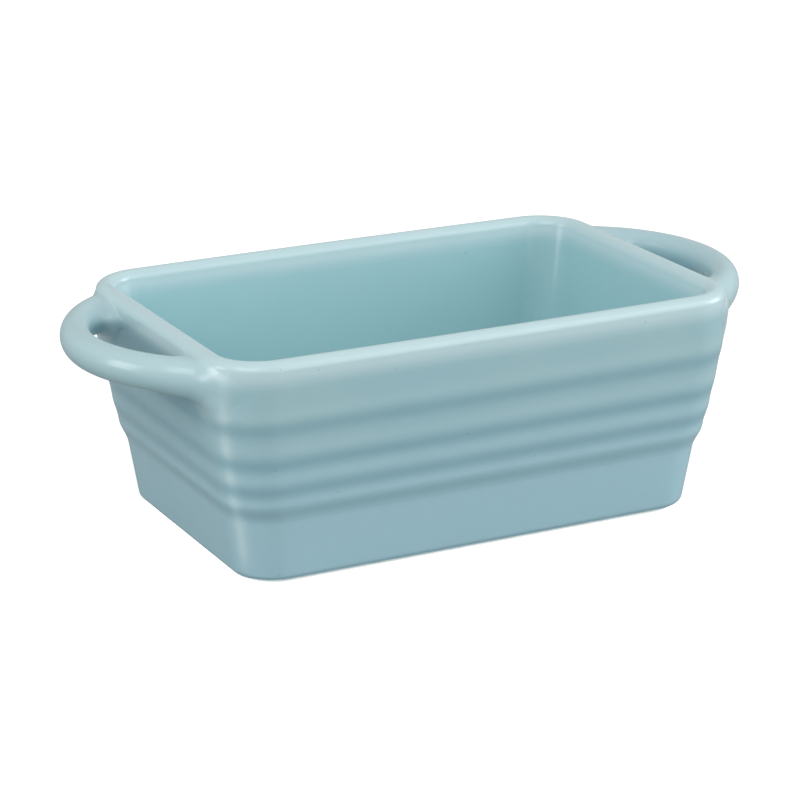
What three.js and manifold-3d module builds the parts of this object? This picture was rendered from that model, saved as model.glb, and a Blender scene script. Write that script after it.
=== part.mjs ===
// Glazed stoneware loaf pan: a tapered rectangular pan with a ribbed band round its walls, a bare foot ring
// under the floor, and a loop handle on each end wall. Millimetres, +Z up, X along the length.
// The origin is on the surface that the pan stands on, below the middle of the pan.
import * as THREE from "three";
import { mergeVertices } from "three/addons/utils/BufferGeometryUtils.js";
import Module from "manifold-3d";

// Pan, outside
const HEIGHT = 73.8;
const RIM_LENGTH = 180;
const RIM_WIDTH = 117.5;
const RIM_BULGE = 0.9; // how far each long wall bows out at the rim, between its corners
const UPPER_DRAFT = 0.8; // how far the end walls lean in over the plain upper band
const RIBBED_DRAFT = 4.4; // over the ribbed band, without its steps
const LOWER_DRAFT = 3.4; // over the plain lower band
const LONG_WALL_DRAFT = 0.83; // the long walls' lean, as a share of the end walls'
const RIBS_TOP = 0.26; // where the ribbed band starts and ends, as shares of the height below the rim
const RIBS_BOTTOM = 0.7;
const STEPS = [0.286, 0.444, 0.566, 0.672]; // the four inward steps between the ribs, as such shares
const STEP_DEPTHS = [0.3, 0.3, 0.55, 1.35];
const STEP_SHARE = 0.09; // the height that one step takes, as such a share
const BASE_EDGE = 2.1; // rounding between the walls and the underside

// Pan, inside
const RIM_THICKNESS = 6.3;
const RIM_ROUNDING = 2.9; // height of the rounded top of the rim
const BASE_THICKNESS = 6; // of the walls, where they meet the floor
const FLOOR_TOP = 7.5;
const FLOOR_FILLET = 9;

// Pan corners, in plan
const RIM_CORNER = 18;
const BASE_CORNER = 13;
const CAVITY_CORNER = RIM_CORNER - RIM_THICKNESS;

// Foot ring
const FOOT_HEIGHT = 1;
const FOOT_WIDTH = 4;
const FOOT_PROUD = 0.5; // how far it stands out past the flat of the underside

// Loop handles: each follows an arc about a point inside the pan
const LOOP_CENTRE = 63.6; // from the middle of the pan
const LOOP_RADIUS = 47;
const LOOP_WIDTH = 9.5;
const LOOP_THICKNESS = 11;
const LOOP_DROP = 1.4; // from the top of the rim to the top of the loop
const ROOT_WIDENING = 1.2; // how much wider the loop is where it meets the pan
const ROOT_DEEPENING = 2.8; // how much further down it reaches there
const ROOT_START = 0.5; // where it starts to grow, as a share of the way from its middle
const LOOP_SWEEP = THREE.MathUtils.degToRad(70); // half of the arc, before it's trimmed to the wall
const WEB_RADIUS = 5.2; // rounding of the finger gap's two ends, in plan
const WEB_SET_IN = 0.8; // from the loop's top and underside to the webs that round those ends

const GAP = 0.3; // between neighbouring pieces

// Fineness of the curved surfaces
const CORNER_STEPS = 8;
const SIDE_STEPS = 6;
const ROUNDING_STEPS = 5;
const BAND_STEPS = 2;
const STEP_STEPS = 6;
const LOOP_STEPS = 30;
const LOOP_SIDES = 20;

const wasm = await Module();
wasm.setup();

// A level ring round a rounded rectangle whose long sides bow out by the bulge.
function ring(halfLength, halfWidth, corner, bulge, z) {
  const points = [];
  const straightX = halfLength - corner;
  const straightY = halfWidth - corner;
  const centres = [[1, 1], [-1, 1], [-1, -1], [1, -1]];
  centres.forEach(([signX, signY], quarter) => {
    for (let i = 0; i <= CORNER_STEPS; i++) {
      const angle = ((quarter + i / CORNER_STEPS) * Math.PI) / 2;
      const x = signX * straightX + corner * Math.cos(angle);
      const y = signY * straightY + corner * Math.sin(angle);
      points.push(new THREE.Vector3(x, y, z));
    }
    const from = points[points.length - 1];
    const alongX = quarter % 2 === 0;
    const to = alongX
      ? new THREE.Vector3(-from.x, from.y, z)
      : new THREE.Vector3(from.x, -from.y, z);
    for (let i = 1; i < SIDE_STEPS; i++) {
      points.push(from.clone().lerp(to, i / SIDE_STEPS));
    }
  });
  for (const point of points) {
    const bow = bulge * (1 - (point.x / halfLength) ** 2);
    point.y *= 1 + bow / halfWidth;
  }
  return points;
}

// A closed body through a list of rings with the same number of points, capped at both ends.
function loft(rings) {
  const count = rings[0].length;
  const positions = rings.flat().flatMap((point) => point.toArray());
  const faces = [];
  for (let i = 0; i + 1 < rings.length; i++) {
    for (let j = 0; j < count; j++) {
      const a = i * count + j;
      const b = i * count + ((j + 1) % count);
      faces.push(a, b, b + count, a, b + count, a + count);
    }
  }
  const first = positions.length / 3;
  for (const end of [rings[0], rings[rings.length - 1]]) {
    const middle = end.reduce((sum, point) => sum.add(point), new THREE.Vector3());
    positions.push(...middle.divideScalar(count).toArray());
  }
  const last = (rings.length - 1) * count;
  for (let j = 0; j < count; j++) {
    const k = (j + 1) % count;
    faces.push(first, k, j, first + 1, last + j, last + k);
  }
  const geometry = new THREE.BufferGeometry();
  geometry.setAttribute("position", new THREE.Float32BufferAttribute(positions, 3));
  geometry.setIndex(faces);
  return geometry;
}

function toSolid(geometry) {
  geometry.deleteAttribute("normal");
  geometry.deleteAttribute("uv");
  const merged = mergeVertices(geometry, 1e-4);
  const vertProperties = merged.attributes.position.array;
  const triVerts = new Uint32Array(merged.index.array);
  return new wasm.Manifold(new wasm.Mesh({ numProp: 3, vertProperties, triVerts }));
}

function toGeometry(solid) {
  const { vertProperties, triVerts } = solid.getMesh();
  const geometry = new THREE.BufferGeometry();
  geometry.setAttribute("position", new THREE.BufferAttribute(vertProperties, 3));
  geometry.setIndex(new THREE.BufferAttribute(triVerts, 1));
  return geometry;
}

function named(name, geometry, material) {
  geometry.computeVertexNormals();
  const mesh = new THREE.Mesh(geometry, material);
  mesh.name = name;
  return mesh;
}

const ramp = (value, from, to) => THREE.MathUtils.clamp((value - from) / (to - from), 0, 1);

// How far the wall at a height leans in from the rim's outline: on the end walls, and on the long ones.
function lean(z) {
  const drop = 1 - z / HEIGHT;
  const draft =
    UPPER_DRAFT * ramp(drop, 0, RIBS_TOP) +
    RIBBED_DRAFT * ramp(drop, RIBS_TOP, RIBS_BOTTOM) +
    LOWER_DRAFT * ramp(drop, RIBS_BOTTOM, 1);
  const halfStep = STEP_SHARE / 2;
  const stepAt = (at) => THREE.MathUtils.smoothstep(drop, at - halfStep, at + halfStep);
  const stepped = STEPS.reduce((sum, at, i) => sum + STEP_DEPTHS[i] * stepAt(at), 0);
  return { end: draft + stepped, long: draft * LONG_WALL_DRAFT + stepped };
}

// A ring of the pan's outside at a height, set in by a further amount.
function outsideRing(z, setIn) {
  const { end, long } = lean(z);
  const corner = THREE.MathUtils.mapLinear(z, 0, HEIGHT, BASE_CORNER, RIM_CORNER);
  return ring(
    RIM_LENGTH / 2 - end - setIn,
    RIM_WIDTH / 2 - long - setIn,
    corner - setIn / 2,
    (RIM_BULGE * z) / HEIGHT,
    z,
  );
}

// The heights at which the outside changes direction, from the base's edge up to the rim's rounding.
function wallHeights() {
  const heights = [];
  const low = FOOT_HEIGHT + BASE_EDGE;
  const high = HEIGHT - RIM_ROUNDING;
  const heightAt = (drop) => HEIGHT * (1 - drop);
  for (let i = 0; i <= BAND_STEPS; i++) {
    heights.push(THREE.MathUtils.lerp(heightAt(RIBS_TOP - STEP_SHARE), high, i / BAND_STEPS));
    heights.push(THREE.MathUtils.lerp(low, heightAt(RIBS_BOTTOM + STEP_SHARE), i / BAND_STEPS));
  }
  for (const at of STEPS) {
    for (let i = 0; i <= STEP_STEPS; i++) {
      heights.push(heightAt(at + STEP_SHARE * (i / STEP_STEPS - 0.5)));
    }
  }
  return heights.sort((a, b) => a - b);
}

// The rings of the pan's outside, from the underside up, grown outwards by a clearance.
function outsideRings(clearance) {
  const rings = [];
  for (let i = 0; i <= ROUNDING_STEPS; i++) {
    const angle = (i / ROUNDING_STEPS) * (Math.PI / 2);
    const setIn = BASE_EDGE * (1 - Math.sin(angle));
    const z = FOOT_HEIGHT + BASE_EDGE * (1 - Math.cos(angle));
    rings.push(outsideRing(z, setIn - clearance));
  }
  for (const z of wallHeights().slice(1)) {
    rings.push(outsideRing(z, -clearance));
  }
  return rings;
}

// The rings of the rim and the cavity, from the rim's outer edge over its top and down to the floor.
function insideRings() {
  const rings = [];
  const bulge = RIM_BULGE;
  const edge = HEIGHT - RIM_ROUNDING;
  const { end, long } = lean(edge);
  const rimX = RIM_LENGTH / 2 - end;
  const rimY = RIM_WIDTH / 2 - long;
  for (let i = 1; i <= 2 * ROUNDING_STEPS; i++) {
    const angle = (i / (2 * ROUNDING_STEPS)) * Math.PI;
    const share = (1 - Math.cos(angle)) / 2;
    const setIn = RIM_THICKNESS * share;
    const corner = THREE.MathUtils.lerp(RIM_CORNER, CAVITY_CORNER, share);
    const z = edge + RIM_ROUNDING * Math.sin(angle);
    rings.push(ring(rimX - setIn, rimY - setIn, corner, bulge, z));
  }
  const base = lean(0);
  const floorX = RIM_LENGTH / 2 - base.end - BASE_THICKNESS;
  const floorY = RIM_WIDTH / 2 - base.long - BASE_THICKNESS;
  for (let i = 0; i <= ROUNDING_STEPS; i++) {
    const angle = (i / ROUNDING_STEPS) * (Math.PI / 2);
    const setIn = FLOOR_FILLET * (1 - Math.cos(angle));
    const z = FLOOR_TOP + FLOOR_FILLET * (1 - Math.sin(angle));
    const share = (edge - z) / (edge - FLOOR_TOP);
    const halfLength = THREE.MathUtils.lerp(rimX - RIM_THICKNESS, floorX, share);
    const halfWidth = THREE.MathUtils.lerp(rimY - RIM_THICKNESS, floorY, share);
    const corner = CAVITY_CORNER - setIn / 2;
    rings.push(ring(halfLength - setIn, halfWidth - setIn, corner, bulge * (1 - share), z));
  }
  return rings;
}

function panBody() {
  return loft([...outsideRings(0), ...insideRings()]);
}

// The pan's outside filled solid and grown by the gap, for trimming the handles' roots.
function trimmer() {
  const rings = outsideRings(GAP);
  const top = outsideRing(HEIGHT, -GAP);
  return toSolid(loft([...rings, top]));
}

// A flat ring under the floor, just proud of the inner end of the base's rounded edge.
function footRim() {
  const top = FOOT_HEIGHT - GAP;
  const outline = (setIn, z) => ring(
    RIM_LENGTH / 2 - lean(0).end - BASE_EDGE + FOOT_PROUD - setIn,
    RIM_WIDTH / 2 - lean(0).long - BASE_EDGE + FOOT_PROUD - setIn,
    BASE_CORNER - setIn,
    0,
    z,
  );
  const outer = toSolid(loft([outline(0, 0), outline(0, top)]));
  const inner = toSolid(loft([outline(FOOT_WIDTH, -top), outline(FOOT_WIDTH, 2 * top)]));
  return toGeometry(outer.subtract(inner));
}

// One section of a loop handle, at a share of the way from its middle (0) to its end (-1 or 1).
function loopSection(share) {
  const angle = share * LOOP_SWEEP;
  const growth = THREE.MathUtils.smoothstep(Math.abs(share), ROOT_START, 1);
  const halfWidth = (LOOP_WIDTH + ROOT_WIDENING * growth) / 2;
  const halfThickness = (LOOP_THICKNESS + ROOT_DEEPENING * growth) / 2;
  const centreZ = HEIGHT - LOOP_DROP - halfThickness;
  const points = [];
  for (let i = 0; i < LOOP_SIDES; i++) {
    const turn = (i / LOOP_SIDES) * 2 * Math.PI;
    const radius = LOOP_RADIUS + halfWidth * Math.cos(turn);
    const x = LOOP_CENTRE + radius * Math.cos(angle);
    const y = radius * Math.sin(angle);
    points.push(new THREE.Vector3(x, y, centreZ + halfThickness * Math.sin(turn)));
  }
  return points;
}

// A web in the sharp corner between the end wall and one end of a loop, with a round edge at the finger gap.
function rootWeb() {
  const middle = HEIGHT - LOOP_DROP - LOOP_THICKNESS / 2;
  const wallX = RIM_LENGTH / 2 - lean(middle).end;
  const insideX = wallX - RIM_THICKNESS / 2;
  const centreX = wallX + WEB_RADIUS;
  const reach = LOOP_RADIUS - LOOP_WIDTH / 2 - WEB_RADIUS;
  const centreY = Math.sqrt(reach ** 2 - (centreX - LOOP_CENTRE) ** 2);
  const touching = Math.atan2(centreY, centreX - LOOP_CENTRE);
  const meeting = Math.acos((wallX - LOOP_CENTRE) / LOOP_RADIUS);
  const shape = new THREE.Shape();
  shape.moveTo(insideX, centreY);
  shape.absarc(centreX, centreY, WEB_RADIUS, Math.PI, touching, true);
  shape.lineTo(LOOP_CENTRE + LOOP_RADIUS * Math.cos(touching), LOOP_RADIUS * Math.sin(touching));
  shape.lineTo(wallX, LOOP_RADIUS * Math.sin(meeting));
  shape.lineTo(insideX, LOOP_RADIUS * Math.sin(meeting));
  const depth = LOOP_THICKNESS - 2 * WEB_SET_IN;
  const options = { depth, bevelEnabled: false, curveSegments: CORNER_STEPS };
  const geometry = new THREE.ExtrudeGeometry(shape, options);
  geometry.translate(0, 0, middle - depth / 2);
  return toSolid(geometry);
}

function loopHandle(trim) {
  const sections = [];
  for (let i = 0; i <= LOOP_STEPS; i++) {
    sections.push(loopSection(1 - (2 * i) / LOOP_STEPS));
  }
  const web = rootWeb();
  const whole = toSolid(loft(sections)).add(web).add(web.mirror([0, 1, 0]));
  return toGeometry(whole.subtract(trim));
}

const glaze = () => new THREE.MeshStandardMaterial({ color: 0x9dbfc6, roughness: 0.15, metalness: 0 });
const bareClay = new THREE.MeshStandardMaterial({ color: 0xe9e4da, roughness: 0.85, metalness: 0 });

const loafPan = new THREE.Group();
loafPan.add(named("pan_body", panBody(), glaze()));
loafPan.add(named("foot_rim", footRim(), bareClay));

const trim = trimmer();
const rightHandle = named("right_handle", loopHandle(trim), glaze());
const leftHandle = named("left_handle", loopHandle(trim), glaze());
leftHandle.rotation.z = Math.PI;
loafPan.add(rightHandle, leftHandle);

export default loafPan;
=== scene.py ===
"""Looks of a glazed stoneware loaf pan: body, foot ring and two loop handles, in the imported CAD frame.

Lengths on the pan are millimetres until a mesh is made. Those of the studio and the camera are metres, unless
they are multiplied by MM or a comment says otherwise.
"""

import math

import bpy
import numpy as np
from mathutils import Matrix, Vector


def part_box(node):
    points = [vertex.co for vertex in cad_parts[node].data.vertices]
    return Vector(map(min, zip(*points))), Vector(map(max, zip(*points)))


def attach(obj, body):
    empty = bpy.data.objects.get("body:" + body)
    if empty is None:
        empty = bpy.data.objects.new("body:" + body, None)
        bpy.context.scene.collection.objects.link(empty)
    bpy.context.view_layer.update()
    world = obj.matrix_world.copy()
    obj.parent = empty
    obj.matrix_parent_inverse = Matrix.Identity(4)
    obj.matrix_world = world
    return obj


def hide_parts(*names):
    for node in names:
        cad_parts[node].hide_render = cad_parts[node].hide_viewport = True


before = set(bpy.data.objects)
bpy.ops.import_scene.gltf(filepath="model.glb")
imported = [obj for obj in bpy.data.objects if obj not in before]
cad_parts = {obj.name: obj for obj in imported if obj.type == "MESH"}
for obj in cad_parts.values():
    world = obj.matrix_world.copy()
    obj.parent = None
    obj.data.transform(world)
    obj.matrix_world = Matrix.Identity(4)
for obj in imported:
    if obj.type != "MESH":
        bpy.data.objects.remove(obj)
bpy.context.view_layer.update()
MM = 0.001
pan_lo, pan_hi = (np.array(corner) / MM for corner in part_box("pan_body"))
foot_hi = np.array(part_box("foot_rim")[1]) / MM
loop_hi = np.array(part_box("right_handle")[1]) / MM

# Pan. Its bands and steps are placed by how far below the rim they are, as a share of the height.
HEIGHT = pan_hi[2]
UNDERSIDE = pan_lo[2]
RIM_BULGE = 0.9  # how far the middle of a long wall bows out at the rim
UPPER_DRAFT, RIBBED_DRAFT, LOWER_DRAFT = 0.8, 4.4, 3.4  # how far an end wall leans in, in each of three bands
LONG_WALL_DRAFT = 0.83  # the long walls' lean, as a share of that
RIBS_TOP, RIBS_BOTTOM = 0.26, 0.7
BEND_EASE = 0.012  # rounding of the bends where the ribbed band starts and ends
STEPS = (0.286, 0.444, 0.566, 0.672)
STEP_DEPTHS = (0.3, 0.3, 0.55, 1.35)
STEP_SHARE = 0.09  # height of one step
BASE_EDGE = 2.1  # radius of the edge between the walls and the underside
RIM_THICKNESS, RIM_ROUNDING = 6.3, 2.9
BASE_THICKNESS, FLOOR_TOP, FLOOR_FILLET = 6.0, 7.5, 9.0
RIM_CORNER, BASE_CORNER = 18.0, 13.0
EDGE = HEIGHT - RIM_ROUNDING
EDGE_LEAN = UPPER_DRAFT * RIM_ROUNDING / HEIGHT / RIBS_TOP
HALF_LENGTH = pan_hi[0] + EDGE_LEAN
HALF_WIDTH = pan_hi[1] + EDGE_LEAN * LONG_WALL_DRAFT - RIM_BULGE * EDGE / HEIGHT

# Glaze and painted light: paler where the glaze runs thinner and where highlights and light from above are
# painted, deeper where it pools and where shade is painted; on a scale from 1 at the palest to -1 at the
# deepest
RIM_FADE = 6.5  # how far below the rim's edge the glaze is still thinner and the rim's highlight is painted
# thinner glaze and painted highlight on the rim, outside and inside, and more on its top, which faces the
# light
RIM_THINNING_AND_HIGHLIGHT, RIM_TOP_THINNING_AND_HIGHLIGHT = 0.75, 0.1
POOL_AND_SHADE_SHARE = 0.034  # how far a pool with its painted shade, and a crest with its painted highlight, spreads up and down, as a share of the pan's height
# pooling glaze with painted shade where each step faces down
POOL_AND_SHADE_DEPTHS = (0.5, 0.6, 0.55, 0.3)
END_WALL_RIBS = 0.65  # how strongly the pooling glaze, painted shade and painted highlights mark the ribs on the end walls, compared with the long walls
END_WALL_FADE = 1.5  # how far in from the end wall's flat its own rib marks and painted shadow have faded out
CREST_RISE = 0.062  # how far a crest is above its step, as a share of the pan's height
# thinner glaze and painted highlight on the crests, which face up
CREST_THINNING_AND_HIGHLIGHT = 0.1
RIDGE_HIGHLIGHT, RIDGE_HIGHLIGHT_BREAK = 0.65, 0.7  # painted highlight down the corners' ridges, and how far a step's pool and painted shade break it
RIDGE_ANGLE = 28.0  # where the painted highlight lies, from an end wall's normal round towards the long wall
RIDGE_SPREAD = 9.0
RIDGE_FOOT = 12.0  # below this height the ridges' painted highlight fades out
CROOK_PAINTED_SHADOW, BELOW_PAINTED_SHADOW = 0.8, 0.4  # painted shadow on the end walls behind and below the handles
CROOK_FADE_IN, CROOK_FADE_OUT = 9.0, 5.0  # sideways, either side of the loop's ends
CROOK_BOTTOM, CROOK_TOP = 15.0, 3.0  # below the loop's underside
CROOK_RIM_GAP = 2.0  # below the rim's edge
BELOW_FADE = 9.0  # the height over which the painted shadow below gives way to the painted shadow behind
# the first: pooling glaze and painted shade on the edge under the walls
EDGE_POOLING_AND_SHADE, FILLET_POOLING, FLOOR_POOLING = 0.4, 0.3, 0.2
# thinner glaze and painted light from above on a loop's upper side
LOOP_THINNING_AND_TOP_LIGHT = 0.55
LOOP_UPPER_SIDE = (-0.6, 0.7)  # the normal's Z where a loop's glaze starts thinning and taking painted light from above, and where both are fullest
LOOP_GLAZE_AND_LIGHT_REACH = 3.0  # how far from the wall a loop has its own glaze and painted light

# Foot ring
FOOT_WIDTH = 4.0
FOOT_EDGE = 0.35  # radius of its lower edges
FOOT_EDGE_POINTS = 6
FOOT_BITE = 0.03  # how far it rises into the body

# Loop handles
LOOP_CENTRE, LOOP_WIDTH, LOOP_THICKNESS = 63.6, 9.5, 11.0
LOOP_RADIUS = loop_hi[0] - LOOP_CENTRE - LOOP_WIDTH / 2
LOOP_TOP = loop_hi[2]
GAP_HALF = math.sqrt(LOOP_RADIUS**2 - (pan_hi[0] - LOOP_CENTRE) ** 2)  # from the middle to the loop's ends
LOOP_CROWN = 0.4  # how much higher the loop's middle is than its ends
ROOT_WIDENING, ROOT_DEEPENING, ROOT_START = 1.2, 2.8, 0.5
LOOP_SWEEP = math.radians(70)
SWEEP_LIMIT = 1.2  # past its ends, as a share of the sweep, the loop's section no longer changes
TOP_BLEND, LOW_BLEND = 1.8, 5.0  # reach of the fillet between a handle and the wall, at its top and below
BLEND_TOP, BLEND_BOTTOM = 0.5, 6.0  # below the loop's top, where the one gives way to the other
BLEND_IN, BLEND_OUT = 1.0, 7.0  # beside the loop, where the fillet ends
BLEND_CUT = 0.98  # how much of it is gone there
INNER_WEB, OUTER_WEB = 12.0, 6.0  # reach of the fillets in plan, on the finger gap's side and outside
WEB_TURN = 3.0  # half the width over which the one gives way to the other
LEAST_OFFSET = 0.001  # from the middle of the loop's section, inside the wall
ROOT_DEPTH = 2.4  # how far a handle's root reaches into the wall, in plan
SINK = 0.1  # how far the handle's hidden skirt lies below the wall's surface
SINK_REACH = 1.2  # height above the wall, in units of SINK, where the skirt has become the visible surface
BRACE_ANGLE, BRACE_DEPTH, BRACE_SWELL = 20.0, 1.8, 0.3  # a slim brace down the corner under each root
BRACE_FOOT, BRACE_MIDDLE, BRACE_HEAD = 46.0, 59.0, 72.0
BRACE_TIP = 4.0  # the brace is cut back over this height below its head
LEAST_BLEND = 0.1  # reach of the brace's own fillet at its head

# Meshing of the handles: the size of a cell, how far the grid clears the shape, and how vertices settle on it
CELL, CLEAR, WIDE_CLEAR, INNER_CLEAR = 0.5, 2.0, 3.0, 8.0
SETTLING_PASSES, LONGEST_MOVE, LEAST_SLOPE = 4, 0.3, 0.05
SKIN_DEPTH = 0.5  # vertices above this depth in the wall are shaded with the visible skin's normals

# Fineness of the lofted surfaces
CORNER_POINTS, SIDE_POINTS = 20, (46, 30)
EDGE_RINGS, WALL_RINGS, STEP_RINGS, RIM_RINGS, CAVITY_RINGS, FILLET_RINGS = 9, 90, 17, 29, 40, 17
STEP_REACH = 0.8  # how far the extra rings at a step reach either way, as a share of its height
FLAT_SHARES = (0.02, 0.4, 0.65, 0.85, 0.96)  # rings on the underside and the floor, as shares of their size
LEAST_CORNER = 0.05  # keeps a corner on the innermost rings
TINY = 1e-6  # keeps a divisor from reaching zero

# Camera: a long lens in front and to the left, looking down at 18 degrees
CAMERA_TARGET = Vector((-3.48, 0, 34.8)) * MM
CAMERA_AZIMUTH, CAMERA_ELEVATION, CAMERA_ROLL = (math.radians(a) for a in (-27.02, 18.25, -0.15))
CAMERA_DISTANCE, CAMERA_NEAR = 0.935, 0.01
CAMERA_SENSOR, CAMERA_LENS = 36, 130.3  # in millimetres, as Blender takes them

# Colours
GLAZE, GLAZE_DRIFT, GLAZE_CLOUD = (0.335, 0.535, 0.590), (0.355, 0.550, 0.590), (0.325, 0.525, 0.585)
# GLAZE_INSIDE_LIGHT: the inside painted a paler tone for the light inside the cavity
# GLAZE_LOW_BOUNCE_LIGHT: the lower walls painted paler and bluer for light bounced up from the floor
GLAZE_LOW_BOUNCE_LIGHT, GLAZE_INSIDE_LIGHT = (0.368, 0.585, 0.662), (0.360, 0.600, 0.640)
# paler where the glaze runs thinner and light is painted, deeper where it pools and shade is painted
GLAZE_THIN_AND_LIT, GLAZE_POOLED_AND_SHADED = (0.60, 0.78, 0.81), (0.20, 0.39, 0.465)
PINHOLE = (0.18, 0.30, 0.34)
CLAY_DARK, CLAY_LIGHT, CLAY_STAIN = (0.84, 0.82, 0.79), (0.93, 0.92, 0.90), (0.80, 0.76, 0.70)

# Surfaces. Scales are in waves to the metre; the heights of bumps are in metres, as Blender takes them.
# A range is the part of a noise's values that is stretched over the whole of its effect.
LOW_WALL_TOP, LOW_WALL_FULL = 55.0, 25.0  # heights where the low wall's painted bounce light starts, and is there in full
DRIFT_SCALE, DRIFT_RANGE = 14, (0.35, 0.65)
CLOUD_SCALE, CLOUD_RANGE, CLOUD_SHARE = 130, (0.3, 0.7), 0.3
PINHOLE_SCALE, PINHOLE_EDGE, PINHOLE_SHARE = 120, (0.03, 0.05), 0.2
GLAZE_ROUGHNESS, GLAZE_ROUGHNESS_SCALE, GLAZE_IOR = (0.18, 0.25), 60, 1.5
ROUGHNESS_RANGE = (0.3, 0.7)
RIPPLE_SCALE, RIPPLE_HEIGHT = 45, 0.0004
SKIN_SCALE, SKIN_HEIGHT, PINHOLE_HEIGHT = 420, 0.00003, -0.00008
GRAIN_SCALE, GRAIN_RANGE, GRAIN_HEIGHT = 1800, (0.35, 0.65), 0.00012
STAIN_SCALE, STAIN_RANGE, STAIN_SHARE = 90, (0.45, 0.7), 0.4
CLAY_ROUGHNESS = (0.75, 0.92)

# Studio: softboxes by azimuth and elevation in degrees, width, height, and power in watts
LIGHT_AIM = Vector((0, 0, 0.04))
LIGHT_RANGE = 1.4
SKY_LIGHT = 0.4
FLOOR_HALF, FLOOR_COLOR, FLOOR_GLOW = 6.0, (0.45, 0.45, 0.45, 1), 0.75
FLOOR_DROP = 0.02  # in millimetres; keeps the sheet just clear of the foot's flat underside
FLOOR_BOUNCE, BOUNCE_REACH = 1.2, 2.0  # extra light from the sheet, and its reach in millimetres
SOFTBOXES = (
    ("front_left", 225, 40, 1.1, 0.8, 7.0),
    ("front_right", 315, 35, 1.0, 0.8, 4.2),
    ("front_low", 290, 10, 1.0, 0.5, 2.0),
    ("right", 345, 14, 0.7, 0.6, 6.6),
    ("left", 172, 14, 0.5, 0.7, 4.4),
)
BACK_FILL = ("back_fill", 62, 20, 0.9, 0.7, 4.0)


def place_camera():
    """The camera's main view."""
    back = Vector((
        math.sin(CAMERA_AZIMUTH) * math.cos(CAMERA_ELEVATION),
        -math.cos(CAMERA_AZIMUTH) * math.cos(CAMERA_ELEVATION),
        math.sin(CAMERA_ELEVATION),
    ))
    level = Vector((math.cos(CAMERA_AZIMUTH), math.sin(CAMERA_AZIMUTH), 0))
    upright = back.cross(level)
    right = level * math.cos(CAMERA_ROLL) + upright * math.sin(CAMERA_ROLL)
    up = upright * math.cos(CAMERA_ROLL) - level * math.sin(CAMERA_ROLL)
    camera = bpy.data.objects.new("camera", bpy.data.cameras.new("camera"))
    camera.data.sensor_width = CAMERA_SENSOR
    camera.data.lens = CAMERA_LENS
    camera.data.clip_start = CAMERA_NEAR
    turn = Matrix((right, up, back)).transposed().to_4x4()
    camera.matrix_world = Matrix.Translation(CAMERA_TARGET + back * CAMERA_DISTANCE) @ turn
    bpy.context.scene.collection.objects.link(camera)
    bpy.context.scene.camera = camera


def smooth(value, low, high):
    """0 below low, 1 above high, and an S-curve between them."""
    t = np.clip((value - low) / (high - low), 0, 1)
    return t * t * (3 - 2 * t)


def soft_ramp(value, low, high, ease):
    """A ramp from 0 to 1 whose two bends are rounded over a length of about ease."""
    def kink(x):
        return (x + np.sqrt(x * x + ease * ease)) / 2
    return np.clip((kink(value - low) - kink(value - high)) / (high - low), 0, 1)


def lean(z):
    """How far the wall leans in from the rim's outline at a height: (end walls, long walls)."""
    drop = 1 - np.asarray(z, float) / HEIGHT
    draft = (
        UPPER_DRAFT * np.clip(drop / RIBS_TOP, 0, 1)
        + RIBBED_DRAFT * soft_ramp(drop, RIBS_TOP, RIBS_BOTTOM, BEND_EASE)
        + LOWER_DRAFT * np.clip((drop - RIBS_BOTTOM) / (1 - RIBS_BOTTOM), 0, 1)
    )
    half = STEP_SHARE / 2
    stepped = sum(d * smooth(drop, s - half, s + half) for s, d in zip(STEPS, STEP_DEPTHS))
    return draft + stepped, draft * LONG_WALL_DRAFT + stepped


def outline(z):
    """The outside's half length, half width, corner radius and bulge at a height."""
    end, long = lean(z)
    share = np.asarray(z, float) / HEIGHT
    corner = BASE_CORNER + (RIM_CORNER - BASE_CORNER) * share
    return HALF_LENGTH - end, HALF_WIDTH - long, corner, RIM_BULGE * share


def ring_angles():
    """The points of every ring: on which corner or side each one is, and its share of the way along it."""
    layout = []
    for quarter in range(4):
        for i in range(CORNER_POINTS + 1):
            layout.append(("corner", quarter, i / CORNER_POINTS))
        count = SIDE_POINTS[quarter % 2]
        for i in range(1, count):
            layout.append(("side", quarter, i / count))
    return layout


LAYOUT = ring_angles()
SIGNS = ((1, 1), (-1, 1), (-1, -1), (1, -1))


def ring(half_length, half_width, corner, bulge, z):
    """A level ring round a rounded rectangle whose long sides bow out."""
    corner = max(corner, LEAST_CORNER)
    points = []

    def turn(quarter, share):
        angle = (quarter + share) * math.pi / 2
        sx, sy = SIGNS[quarter]
        x = sx * (half_length - corner) + corner * math.cos(angle)
        y = sy * (half_width - corner) + corner * math.sin(angle)
        return np.array((x, y))

    for kind, quarter, share in LAYOUT:
        if kind == "corner":
            points.append(turn(quarter, share))
        else:
            start, end = turn(quarter, 1), turn((quarter + 1) % 4, 0)
            points.append(start + (end - start) * share)
    points = np.array(points)
    bow = bulge * (1 - (points[:, 0] / half_length) ** 2)
    points[:, 1] *= 1 + bow / half_width
    return np.column_stack([points, np.full(len(points), z)])


def outside_heights():
    """The heights of the walls' rings, closer together at the steps."""
    plain = np.linspace(UNDERSIDE + BASE_EDGE, EDGE, WALL_RINGS)
    reach = np.linspace(-STEP_REACH, STEP_REACH, STEP_RINGS)
    steps = [HEIGHT * (1 - s + STEP_SHARE * reach) for s in STEPS]
    return np.unique(np.concatenate([plain, *steps]).round(3))


def ridge(points):
    """How close points on the outside are to the painted highlight down the ridge of their corner, from 0 to
    1.
    """
    a, b, c, _ = outline(points[:, 2])
    qx, qy = np.abs(points[:, 0]) - (a - c), np.abs(points[:, 1]) - (b - c)
    from_end = np.degrees(np.arctan2(np.maximum(qy, 0), np.maximum(qx, TINY)))
    return np.exp(-(((from_end - RIDGE_ANGLE) / RIDGE_SPREAD) ** 2))


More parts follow.
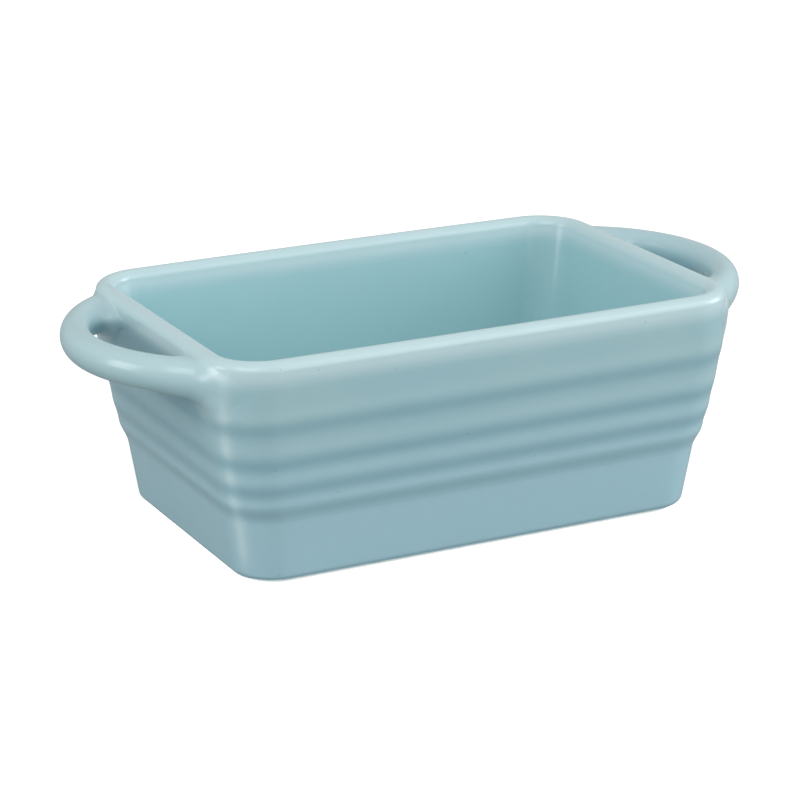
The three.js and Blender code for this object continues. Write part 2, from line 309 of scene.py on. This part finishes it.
def on_end_wall(points):
    """1 on the flat of an end wall, fading to 0 where its corners turn away."""
    x = np.abs(points[:, 0])
    end = lean(points[:, 2])[0]
    return smooth(x, HALF_LENGTH - end - END_WALL_FADE, HALF_LENGTH - end)


def outside_glaze_and_light(points):
    """Thinner glaze and painted highlight on the rim and the crests of the ribs, painted highlight down the
    corners, pooling glaze and painted shade on the steps, painted shadow behind and below the handles.
    """
    z = points[:, 2]
    drop = 1 - z / HEIGHT
    # pooling glaze and painted shade on each step
    pooled_and_shaded = sum(depth * np.exp(-(((drop - s) / POOL_AND_SHADE_SHARE) ** 2)) for s, depth in zip(STEPS, POOL_AND_SHADE_DEPTHS))
    # crests: thinner glaze and painted highlight
    crest = sum(np.exp(-(((drop - s + CREST_RISE) / POOL_AND_SHADE_SHARE) ** 2)) for s in STEPS)
    # the rim: thinner glaze and painted highlight
    rim = RIM_THINNING_AND_HIGHLIGHT * smooth(z, EDGE - RIM_FADE, EDGE) + RIM_TOP_THINNING_AND_HIGHLIGHT * smooth(z, EDGE, HEIGHT)
    unbroken = (1 - RIDGE_HIGHLIGHT_BREAK * np.minimum(pooled_and_shaded, 1)) * smooth(z, UNDERSIDE, RIDGE_FOOT)
    # painted highlight down the corner's ridge, broken by the steps' painted shade
    corner = RIDGE_HIGHLIGHT * ridge(points) * unbroken
    ribs = (CREST_THINNING_AND_HIGHLIGHT * crest - pooled_and_shaded) * (1 - (1 - END_WALL_RIBS) * on_end_wall(points))
    # the painted shadow behind and below the handles is taken off
    return rim + ribs + corner - crook(points)


def crook(points):
    """Painted shadow on an end wall behind its handle, and a little below it."""
    y, z = np.abs(points[:, 1]), points[:, 2]
    loop_under = LOOP_TOP - LOOP_THICKNESS
    beside = on_end_wall(points) * (1 - smooth(y, GAP_HALF - CROOK_FADE_IN, GAP_HALF + CROOK_FADE_OUT))
    behind = smooth(z, loop_under - CROOK_BOTTOM, loop_under - CROOK_TOP)
    behind *= 1 - smooth(z, EDGE - RIM_FADE, EDGE - CROOK_RIM_GAP)
    below = smooth(z, HEIGHT * (1 - RIBS_BOTTOM), HEIGHT * (1 - STEPS[0]))
    below *= 1 - smooth(z, loop_under - BELOW_FADE, loop_under)
    return beside * (CROOK_PAINTED_SHADOW * behind + BELOW_PAINTED_SHADOW * below)


def body_rings():
    """Rings of the pan from the middle of its underside, up its outside, over its rim and down to its floor.

    Each comes with how much thinner (+) the glaze runs and how deep it pools (-) there, with painted light
    (+) and painted shade (-) added in, and with 1 where it lines the inside, whose tone is painted for the
    light inside the cavity.
    """
    rings = []
    a, b, c, _ = outline(UNDERSIDE)
    for share in FLAT_SHARES:
        rings.append((ring((a - BASE_EDGE) * share, (b - BASE_EDGE) * share, c * share, 0, UNDERSIDE), 0, 0))
    for angle in np.linspace(0, math.pi / 2, EDGE_RINGS):
        z = UNDERSIDE + BASE_EDGE * (1 - math.cos(angle))
        set_in = BASE_EDGE * (1 - math.sin(angle))
        a, b, c, bulge = outline(z)
        # pooling glaze and painted shade on the edge under the walls
        glaze_and_light = -EDGE_POOLING_AND_SHADE * math.sin(2 * angle)
        rings.append((ring(a - set_in, b - set_in, c - set_in / 2, bulge, z), glaze_and_light, 0))
    for z in outside_heights()[1:]:
        a, b, c, bulge = outline(z)
        points = ring(a, b, c, bulge, z)
        rings.append((points, outside_glaze_and_light(points), 0))
    a, b, c, _ = outline(EDGE)
    for angle in np.linspace(0, math.pi, RIM_RINGS)[1:]:
        set_in = RIM_THICKNESS * (1 - math.cos(angle)) / 2
        z = EDGE + RIM_ROUNDING * math.sin(angle)
        # thinner glaze and painted highlight over the rim
        glaze_and_light = RIM_THINNING_AND_HIGHLIGHT + RIM_TOP_THINNING_AND_HIGHLIGHT * math.sin(angle)
        rings.append((ring(a - set_in, b - set_in, c - set_in, RIM_BULGE, z), glaze_and_light, 0))
    rings += cavity_rings(a - RIM_THICKNESS, b - RIM_THICKNESS, c - RIM_THICKNESS)
    return rings


def cavity_rings(top_a, top_b, corner):
    """Rings down the inside of the walls, round the floor's fillet and in to the middle of the floor."""
    end, long = lean(0)
    floor_a = HALF_LENGTH - end - BASE_THICKNESS
    floor_b = HALF_WIDTH - long - BASE_THICKNESS
    path = [(z, 0.0) for z in np.linspace(EDGE, FLOOR_TOP + FLOOR_FILLET, CAVITY_RINGS)[1:]]
    for angle in np.linspace(0, math.pi / 2, FILLET_RINGS)[1:]:
        z = FLOOR_TOP + FLOOR_FILLET * (1 - math.sin(angle))
        path.append((z, FLOOR_FILLET * (1 - math.cos(angle))))
    rings = []
    for z, set_in in path:
        share = (EDGE - z) / (EDGE - FLOOR_TOP)
        a = top_a + (floor_a - top_a) * share - set_in
        b = top_b + (floor_b - top_b) * share - set_in
        at_rim = smooth(z, EDGE - RIM_FADE, EDGE)
        # paler near the rim: thinner glaze and painted highlight
        glaze_and_light = RIM_THINNING_AND_HIGHLIGHT * at_rim - FILLET_POOLING * smooth(set_in, 0, FLOOR_FILLET)
        # the inside's tone is painted for the light inside the cavity
        inside = 1 - at_rim
        rings.append((ring(a, b, corner - set_in / 2, RIM_BULGE * (1 - share), z), glaze_and_light, inside))
    c = corner - set_in / 2
    for share in reversed(FLAT_SHARES):
        rings.append((ring(a * share, b * share, c * share, 0, FLOOR_TOP), -FLOOR_POOLING * share, 1))
    return rings


def make_piece(name, vertices, faces, glaze_and_light, material, inside=0.0, normals=None):
    """A smooth object from millimetres, with the glaze's thickness and the painted light and shade, and where
    it lines the inside.
    """
    mesh = bpy.data.meshes.new(name)
    mesh.from_pydata((np.asarray(vertices) * MM).tolist(), [], [list(map(int, f)) for f in faces])
    mesh.update()
    mesh.polygons.foreach_set("use_smooth", [True] * len(mesh.polygons))
    for label, values in (("glaze_and_painted_light", glaze_and_light), ("inside_painted_light", inside)):
        layer = mesh.attributes.new(label, "FLOAT", "POINT")
        layer.data.foreach_set("value", np.broadcast_to(values, len(vertices)).astype(np.float32))
    if normals is not None:
        mesh.normals_split_custom_set_from_vertices(normals.tolist())
    mesh.materials.append(material)
    piece = bpy.data.objects.new(name, mesh)
    bpy.context.scene.collection.objects.link(piece)
    return piece


def loft(rings):
    """Vertices and faces of a closed body through rings with the same number of points."""
    count = len(rings[0])
    faces = []
    for i in range(len(rings) - 1):
        for j in range(count):
            k = (j + 1) % count
            faces.append((i * count + j, i * count + k, (i + 1) * count + k, (i + 1) * count + j))
    faces.append(tuple(reversed(range(count))))
    faces.append(tuple(range((len(rings) - 1) * count, len(rings) * count)))
    return np.concatenate(rings), faces


def make_body(material):
    """The pan with its rim, ribs and cavity, as one loft."""
    rings = body_rings()
    vertices, faces = loft([points for points, _, _ in rings])
    glaze_and_light, inside = (
        np.concatenate([np.broadcast_to(values[i], len(values[0])) for values in rings]) for i in (1, 2)
    )
    body = make_piece("glazed_body", vertices, faces, glaze_and_light, material, inside)
    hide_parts("pan_body")
    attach(body, "root")


def make_foot(material):
    """A ring under the floor with softened lower edges, rising a little way into the body's underside."""
    e = FOOT_EDGE
    turns = np.linspace(0, math.pi / 2, FOOT_EDGE_POINTS)
    edge = [(e * (1 - math.cos(t)), e * (1 - math.sin(t))) for t in turns]
    outer = [(0, UNDERSIDE + FOOT_BITE), *edge]
    inner = [(FOOT_WIDTH - set_in, z) for set_in, z in reversed(outer)]
    rings = [ring(foot_hi[0] - s, foot_hi[1] - s, BASE_CORNER - s, 0, z) for s, z in outer + inner]
    count, last = len(rings[0]), len(rings)
    faces = []
    for i in range(last):
        for j in range(count):
            k, m = (j + 1) % count, (i + 1) % last
            faces.append((i * count + j, m * count + j, m * count + k, i * count + k))
    foot = make_piece("bare_foot_ring", np.concatenate(rings), faces, 0, material)
    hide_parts("foot_rim")
    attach(foot, "root")


def plan_distance(p):
    """Level distance of points from the pan's outline at their own height; negative inside."""
    x, y, z = p[..., 0], p[..., 1], p[..., 2]
    a, b, c, bulge = outline(np.minimum(z, EDGE))
    y = y / (1 + bulge * (1 - np.clip(x / a, -1, 1) ** 2) / b)
    qx, qy = np.abs(x) - (a - c), np.abs(y) - (b - c)
    return np.hypot(np.maximum(qx, 0), np.maximum(qy, 0)) + np.minimum(np.maximum(qx, qy), 0) - c


def wall_distance(p):
    """Distance of points from the pan's outside, as if the pan were solid; negative inside."""
    z = p[..., 2]
    across = plan_distance(p)
    level = np.minimum(z, EDGE)
    step = 0.05
    slope = (lean(level - step)[0] - lean(level + step)[0]) / (2 * step)
    below = across / np.sqrt(1 + slope * slope)
    half = RIM_THICKNESS / 2
    over = (np.hypot((across + half) / half, np.maximum(z - EDGE, 0) / RIM_ROUNDING) - 1) * half
    return np.where(z > EDGE, over, below)


def joined(one, two, reach):
    """The union of two distance fields with a fillet."""
    near = np.maximum(reach - np.abs(one - two), 0) / reach
    return np.minimum(one, two) - near * near * reach / 4


def tube(u, w, half_width, half_depth):
    """Distance from an elliptical bar, from the offsets across it and up from its middle."""
    far = np.hypot(u / half_width, w / half_depth)
    steep = np.hypot(u / half_width**2, w / half_depth**2)
    return far * (far - 1) / np.maximum(steep, TINY)


def loop_section(p):
    """Where points lie in the +X loop's section: offset across, offset up, half width and half depth."""
    x, y = p[..., 0] - LOOP_CENTRE, p[..., 1]
    share = np.clip(np.abs(np.arctan2(y, x)) / LOOP_SWEEP, 0, SWEEP_LIMIT)
    growth = smooth(share, ROOT_START, 1)
    half_width = (LOOP_WIDTH + ROOT_WIDENING * growth) / 2
    half_depth = (LOOP_THICKNESS + ROOT_DEEPENING * growth) / 2
    centre = LOOP_TOP - LOOP_CROWN * share**2 - half_depth
    return np.hypot(x, y) - LOOP_RADIUS, p[..., 2] - centre, half_width, half_depth


def brace_distance(p):
    """Distance of points from the brace under a root: a slim ridge that tapers into the corner."""
    z = p[..., 2]
    a, b, c, _ = outline(np.clip(z, UNDERSIDE, EDGE))
    angle = math.radians(BRACE_ANGLE)
    level = np.hypot(
        p[..., 0] - (a - c + (c - BRACE_DEPTH) * math.cos(angle)),
        np.abs(p[..., 1]) - (b - c + (c - BRACE_DEPTH) * math.sin(angle)),
    )
    swell = smooth(z, BRACE_FOOT, BRACE_MIDDLE) * (1 - smooth(z, BRACE_MIDDLE, BRACE_HEAD))
    taper = np.maximum(BRACE_MIDDLE - z, 0) * (LOW_BLEND - BRACE_DEPTH) / (BRACE_MIDDLE - BRACE_FOOT)
    return level - BRACE_SWELL * swell + np.maximum(z - BRACE_HEAD + BRACE_TIP, 0) + taper


def handle_fields(p):
    """Distances from the wall and from a handle with its webs, and the reach of the fillet between them."""
    wall, across = wall_distance(p), plan_distance(p)
    u, w, half_width, half_depth = loop_section(p)
    beside = np.abs(u) - half_width
    web = OUTER_WEB + (INNER_WEB - OUTER_WEB) * smooth(-u, -WEB_TURN, WEB_TURN)
    edge = np.maximum(joined(across, beside, web), beside - web)
    handle = tube(np.maximum(edge + half_width, LEAST_OFFSET), w, half_width, half_depth)
    under = LEAST_BLEND + LOW_BLEND * (1 - smooth(p[..., 2], BRACE_MIDDLE, BRACE_HEAD - BRACE_TIP))
    handle = joined(handle, brace_distance(p), under)
    handle = np.maximum(handle, -across - ROOT_DEPTH)
    reach = TOP_BLEND + (LOW_BLEND - TOP_BLEND) * smooth(LOOP_TOP - p[..., 2], BLEND_TOP, BLEND_BOTTOM)
    reach = reach * (1 - BLEND_CUT * smooth(beside, BLEND_IN, BLEND_OUT))
    return wall, handle, reach


def blended(p):
    """The pan's outside and a handle joined by a fillet."""
    return joined(*handle_fields(p))


def handle_field(p):
    """A handle with its fillets, as a solid that reaches a little way into the wall."""
    whole = blended(p)
    raised = wall_distance(p) - whole
    sunk = whole + SINK * (1 - smooth(raised, 0, SINK_REACH * SINK))
    u, w, half_width, half_depth = loop_section(p)
    skirt = np.minimum(tube(u, w, half_width, half_depth) - INNER_WEB, brace_distance(p) - LOW_BLEND)
    return np.maximum(np.maximum(sunk, -plan_distance(p) - ROOT_DEPTH), skirt)


def gradient(field, p, step=0.03):
    """The slope of a field at points, by central differences."""
    out = np.empty_like(p)
    for axis in range(3):
        shift = np.zeros(3)
        shift[axis] = step
        out[..., axis] = (field(p + shift) - field(p - shift)) / (2 * step)
    return out


def surface_net(field, low, high):
    """Quads on the zero surface of a field, one vertex in each cell that the surface crosses."""
    axes = [np.arange(a, b + CELL, CELL) for a, b in zip(low, high)]
    grid = np.stack(np.meshgrid(*axes, indexing="ij"), -1)
    value = field(grid)
    inside = value < 0
    shape = np.array(value.shape) - 1
    total = np.zeros((*shape, 3))
    hits = np.zeros(shape)
    crossings = []
    for axis in range(3):
        one = [slice(None)] * 3
        two = [slice(None)] * 3
        one[axis], two[axis] = slice(0, -1), slice(1, None)
        f0, f1 = value[tuple(one)], value[tuple(two)]
        crossed = inside[tuple(one)] != inside[tuple(two)]
        at = np.argwhere(crossed)
        t = f0[crossed] / (f0[crossed] - f1[crossed])
        point = grid[tuple(one)][crossed]
        point[:, axis] += t * CELL
        crossings.append((at, inside[tuple(one)][crossed]))
        others = [k for k in range(3) if k != axis]
        for da in (0, 1):
            for db in (0, 1):
                cell = at.copy()
                cell[:, others[0]] -= da
                cell[:, others[1]] -= db
                ok = ((cell >= 0) & (cell < shape)).all(1)
                where = tuple(cell[ok].T)
                np.add.at(total, where, point[ok])
                np.add.at(hits, where, 1)
    used = hits > 0
    index = np.full(shape, -1)
    index[used] = np.arange(used.sum())
    vertices = total[used] / hits[used][:, None]
    faces = []
    for axis, (at, started_inside) in enumerate(crossings):
        b, c = (axis + 1) % 3, (axis + 2) % 3
        keep = (at[:, b] > 0) & (at[:, c] > 0) & (at[:, b] < shape[b]) & (at[:, c] < shape[c])
        at, started_inside = at[keep], started_inside[keep]
        corners = []
        for db, dc in ((1, 1), (0, 1), (0, 0), (1, 0)):
            cell = at.copy()
            cell[:, b] -= db
            cell[:, c] -= dc
            corners.append(index[tuple(cell.T)])
        quad = np.stack(corners, 1)
        quad[~started_inside] = quad[~started_inside][:, ::-1]
        faces.append(quad)
    return vertices, np.concatenate(faces)


def handle_mesh():
    """Vertices, faces and normals of the +X handle, its vertices moved onto the field's surface."""
    low = np.array((LOOP_CENTRE + INNER_CLEAR, -HALF_WIDTH - WIDE_CLEAR, BRACE_FOOT - LOW_BLEND - WIDE_CLEAR))
    high = np.array((loop_hi[0] + CLEAR, HALF_WIDTH + WIDE_CLEAR, HEIGHT + CLEAR))
    vertices, faces = surface_net(handle_field, low, high)
    for _ in range(SETTLING_PASSES):
        slope = gradient(handle_field, vertices)
        size = np.maximum((slope**2).sum(1), LEAST_SLOPE)
        move = -handle_field(vertices)[:, None] * slope / size[:, None]
        length = np.linalg.norm(move, axis=1)[:, None]
        vertices += move * np.minimum(1, LONGEST_MOVE * CELL / np.maximum(length, TINY))
    normals = gradient(handle_field, vertices)
    skin = gradient(blended, vertices)
    shown = (wall_distance(vertices) > -SKIN_DEPTH)[:, None]
    normals = np.where(shown, skin, normals)
    normals /= np.linalg.norm(normals, axis=1)[:, None]
    return vertices, faces, normals


def handle_glaze_and_light(vertices, normals):
    """Thinner glaze and painted light from above along the loop's upper side, running into the outside's own
    glaze and painted light where the two meet.
    """
    raised = wall_distance(vertices) - blended(vertices) + np.maximum(wall_distance(vertices), 0)
    # thinner glaze and painted light from above where the loop faces up
    loop = LOOP_THINNING_AND_TOP_LIGHT * smooth(normals[:, 2], *LOOP_UPPER_SIDE)
    share = smooth(raised, 0, LOOP_GLAZE_AND_LIGHT_REACH)
    return loop * share + outside_glaze_and_light(vertices) * (1 - share)


def make_handles(material):
    """Both loops: the right one, and the same mesh turned half way round for the left."""
    vertices, faces, normals = handle_mesh()
    glaze_and_light = handle_glaze_and_light(vertices, normals)
    for name, node, sign in (("right_loop", "right_handle", 1), ("left_loop", "left_handle", -1)):
        turn = np.array((sign, sign, 1))
        loop = make_piece(name, vertices * turn, faces, glaze_and_light, material, normals=normals * turn)
        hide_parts(node)
        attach(loop, "root")


class Nodes:
    """Short helpers to lay out a material's node tree."""

    MIX_A, MIX_B, MIX_RESULT = 6, 7, 2  # places of the colour sockets on Blender's mix node

    def __init__(self, name):
        self.material = bpy.data.materials.new(name)
        self.material.use_nodes = True
        self.tree = self.material.node_tree
        self.tree.nodes.clear()
        self.output = self.add("ShaderNodeOutputMaterial")

    def add(self, kind, **values):
        node = self.tree.nodes.new(kind)
        for key, value in values.items():
            setattr(node, key, value)
        return node

    def link(self, source, target):
        self.tree.links.new(source, target)

    def noise(self, place, scale, detail=2.0, roughness=0.5):
        node = self.add("ShaderNodeTexNoise")
        node.inputs["Scale"].default_value = scale
        node.inputs["Detail"].default_value = detail
        node.inputs["Roughness"].default_value = roughness
        self.link(place, node.inputs["Vector"])
        return node.outputs["Fac"]

    def spread(self, source, low, high, to_low=0.0, to_high=1.0, kind="LINEAR"):
        node = self.add("ShaderNodeMapRange", interpolation_type=kind)
        for key, value in zip(("From Min", "From Max", "To Min", "To Max"), (low, high, to_low, to_high)):
            node.inputs[key].default_value = value
        self.link(source, node.inputs["Value"])
        return node.outputs["Result"]

    def math(self, operation, a, b):
        node = self.add("ShaderNodeMath", operation=operation)
        for socket, value in zip(node.inputs, (a, b)):
            if isinstance(value, (int, float)):
                socket.default_value = value
            else:
                self.link(value, socket)
        return node.outputs[0]

    def mix(self, share, a, b, blend="MIX"):
        node = self.add("ShaderNodeMix", data_type="RGBA", blend_type=blend)
        sockets = (node.inputs["Factor"], node.inputs[self.MIX_A], node.inputs[self.MIX_B])
        for socket, value in zip(sockets, (share, a, b)):
            if isinstance(value, (int, float)):
                socket.default_value = value
            elif isinstance(value, tuple):
                socket.default_value = (*value, 1)
            else:
                self.link(value, socket)
        return node.outputs[self.MIX_RESULT]

    def bump(self, height, distance, after=None):
        node = self.add("ShaderNodeBump")
        node.inputs["Strength"].default_value = 1.0
        node.inputs["Distance"].default_value = distance
        self.link(height, node.inputs["Height"])
        if after is not None:
            self.link(after, node.inputs["Normal"])
        return node.outputs["Normal"]


def make_glaze():
    """A pale blue glaze over off-white clay: paler where it runs thinner and where light is painted, deeper
    where it pools and where shade is painted, with painted bounce light on the low walls, painted light
    inside the cavity, and pinholes.
    """
    n = Nodes("celadon_glaze")
    place = n.add("ShaderNodeTexCoord").outputs["Object"]
    shader = n.add("ShaderNodeBsdfPrincipled")
    glaze_and_light = n.add("ShaderNodeAttribute", attribute_name="glaze_and_painted_light").outputs["Fac"]

    drift = n.spread(n.noise(place, DRIFT_SCALE, detail=1), *DRIFT_RANGE, kind="SMOOTHSTEP")
    color = n.mix(drift, GLAZE, GLAZE_DRIFT)
    cloud = n.spread(n.noise(place, CLOUD_SCALE, detail=4, roughness=0.6), *CLOUD_RANGE)
    color = n.mix(n.math("MULTIPLY", cloud, CLOUD_SHARE), color, GLAZE_CLOUD)
    height = n.add("ShaderNodeSeparateXYZ")
    n.link(place, height.inputs[0])
    # painted bounce light from the floor on the low walls
    low = n.spread(height.outputs["Z"], LOW_WALL_TOP * MM, LOW_WALL_FULL * MM)
    color = n.mix(low, color, GLAZE_LOW_BOUNCE_LIGHT)
    # painted light inside the cavity
    inside = n.add("ShaderNodeAttribute", attribute_name="inside_painted_light").outputs["Fac"]
    color = n.mix(inside, color, GLAZE_INSIDE_LIGHT)
    # paler for thinner glaze and painted light, deeper for pooling glaze and painted shade
    color = n.mix(n.spread(glaze_and_light, 0, 1), color, GLAZE_THIN_AND_LIT)
    color = n.mix(n.spread(glaze_and_light, 0, -1), color, GLAZE_POOLED_AND_SHADED)

    pits = n.add("ShaderNodeTexVoronoi", feature="F1")
    pits.inputs["Scale"].default_value = PINHOLE_SCALE
    n.link(place, pits.inputs["Vector"])
    speck = n.spread(pits.outputs["Distance"], *PINHOLE_EDGE, to_low=1, to_high=0)
    color = n.mix(n.math("MULTIPLY", speck, PINHOLE_SHARE), color, PINHOLE)
    n.link(color, shader.inputs["Base Color"])

    uneven = n.noise(place, GLAZE_ROUGHNESS_SCALE, detail=3)
    n.link(n.spread(uneven, *ROUGHNESS_RANGE, *GLAZE_ROUGHNESS), shader.inputs["Roughness"])
    shader.inputs["IOR"].default_value = GLAZE_IOR

    ripple = n.bump(n.noise(place, RIPPLE_SCALE), RIPPLE_HEIGHT)
    skin = n.bump(n.noise(place, SKIN_SCALE, detail=3), SKIN_HEIGHT, after=ripple)
    pinhole = n.bump(speck, PINHOLE_HEIGHT, after=skin)
    n.link(pinhole, shader.inputs["Normal"])
    n.link(shader.outputs["BSDF"], n.output.inputs["Surface"])
    return n.material


def make_bare_clay():
    """Dry off-white stoneware with fine grain and faint stains."""
    n = Nodes("bare_stoneware")
    place = n.add("ShaderNodeTexCoord").outputs["Object"]
    shader = n.add("ShaderNodeBsdfPrincipled")
    grain = n.noise(place, GRAIN_SCALE, detail=4, roughness=0.7)
    color = n.mix(n.spread(grain, *GRAIN_RANGE), CLAY_DARK, CLAY_LIGHT)
    stain = n.spread(n.noise(place, STAIN_SCALE, detail=3), *STAIN_RANGE)
    color = n.mix(n.math("MULTIPLY", stain, STAIN_SHARE), color, CLAY_STAIN)
    n.link(color, shader.inputs["Base Color"])
    n.link(n.spread(grain, *ROUGHNESS_RANGE, *CLAY_ROUGHNESS), shader.inputs["Roughness"])
    n.link(n.bump(grain, GRAIN_HEIGHT), shader.inputs["Normal"])
    n.link(shader.outputs["BSDF"], n.output.inputs["Surface"])
    return n.material


def make_floor():
    """A plain white sheet that the pan stands on.

    The camera sees it brighter than it lights the pan. It throws extra light only on what nearly touches it,
    which whitens the foot.
    """
    h, z = FLOOR_HALF, -FLOOR_DROP * MM
    mesh = bpy.data.meshes.new("floor")
    mesh.from_pydata([(-h, -h, z), (h, -h, z), (h, h, z), (-h, h, z)], [], [(0, 1, 2, 3)])
    floor = bpy.data.objects.new("floor", mesh)
    n = Nodes("white_sheet")
    diffuse = n.add("ShaderNodeBsdfDiffuse")
    diffuse.inputs["Color"].default_value = FLOOR_COLOR
    path = n.add("ShaderNodeLightPath")
    seen = n.math("MULTIPLY", path.outputs["Is Camera Ray"], FLOOR_GLOW)
    close = n.math("LESS_THAN", path.outputs["Ray Length"], BOUNCE_REACH * MM)
    glow = n.add("ShaderNodeEmission")
    n.link(n.math("ADD", seen, n.math("MULTIPLY", close, FLOOR_BOUNCE)), glow.inputs["Strength"])
    both = n.add("ShaderNodeAddShader")
    n.link(diffuse.outputs[0], both.inputs[0])
    n.link(glow.outputs[0], both.inputs[1])
    n.link(both.outputs[0], n.output.inputs["Surface"])
    mesh.materials.append(n.material)
    bpy.context.scene.collection.objects.link(floor)


def add_light(name, azimuth, elevation, width, height, power):
    """A softbox on a sphere round the pan, aimed at it; azimuth 0 is the right, 90 the back."""
    turn, rise = math.radians(azimuth), math.radians(elevation)
    way = Vector((math.cos(turn) * math.cos(rise), math.sin(turn) * math.cos(rise), math.sin(rise)))
    data = bpy.data.lights.new(name, "AREA")
    data.shape = "RECTANGLE"
    data.size, data.size_y = width, height
    data.energy = power
    light = bpy.data.objects.new(name, data)
    light.location = LIGHT_AIM + way * LIGHT_RANGE
    light.rotation_euler = way.to_track_quat("Z", "Y").to_euler()
    bpy.context.scene.collection.objects.link(light)
    return light


def light_studio():
    """Softboxes round the pan under an even sky, which the camera sees as white."""
    world = bpy.data.worlds.new("studio")
    world.use_nodes = True
    tree = world.node_tree
    background = tree.nodes["Background"]
    background.inputs["Color"].default_value = (1, 1, 1, 1)
    path = tree.nodes.new("ShaderNodeLightPath")
    strength = tree.nodes.new("ShaderNodeMapRange")
    strength.inputs["To Min"].default_value = SKY_LIGHT
    tree.links.new(path.outputs["Is Camera Ray"], strength.inputs["Value"])
    tree.links.new(strength.outputs["Result"], background.inputs["Strength"])
    bpy.context.scene.world = world
    for values in SOFTBOXES:
        add_light(*values)
    add_light(*BACK_FILL).visible_glossy = False
    bpy.context.scene.view_settings.view_transform = "Standard"
    bpy.context.scene.view_settings.look = "None"


place_camera()
glaze = make_glaze()
make_body(glaze)
make_handles(glaze)
make_foot(make_bare_clay())
make_floor()
light_studio()
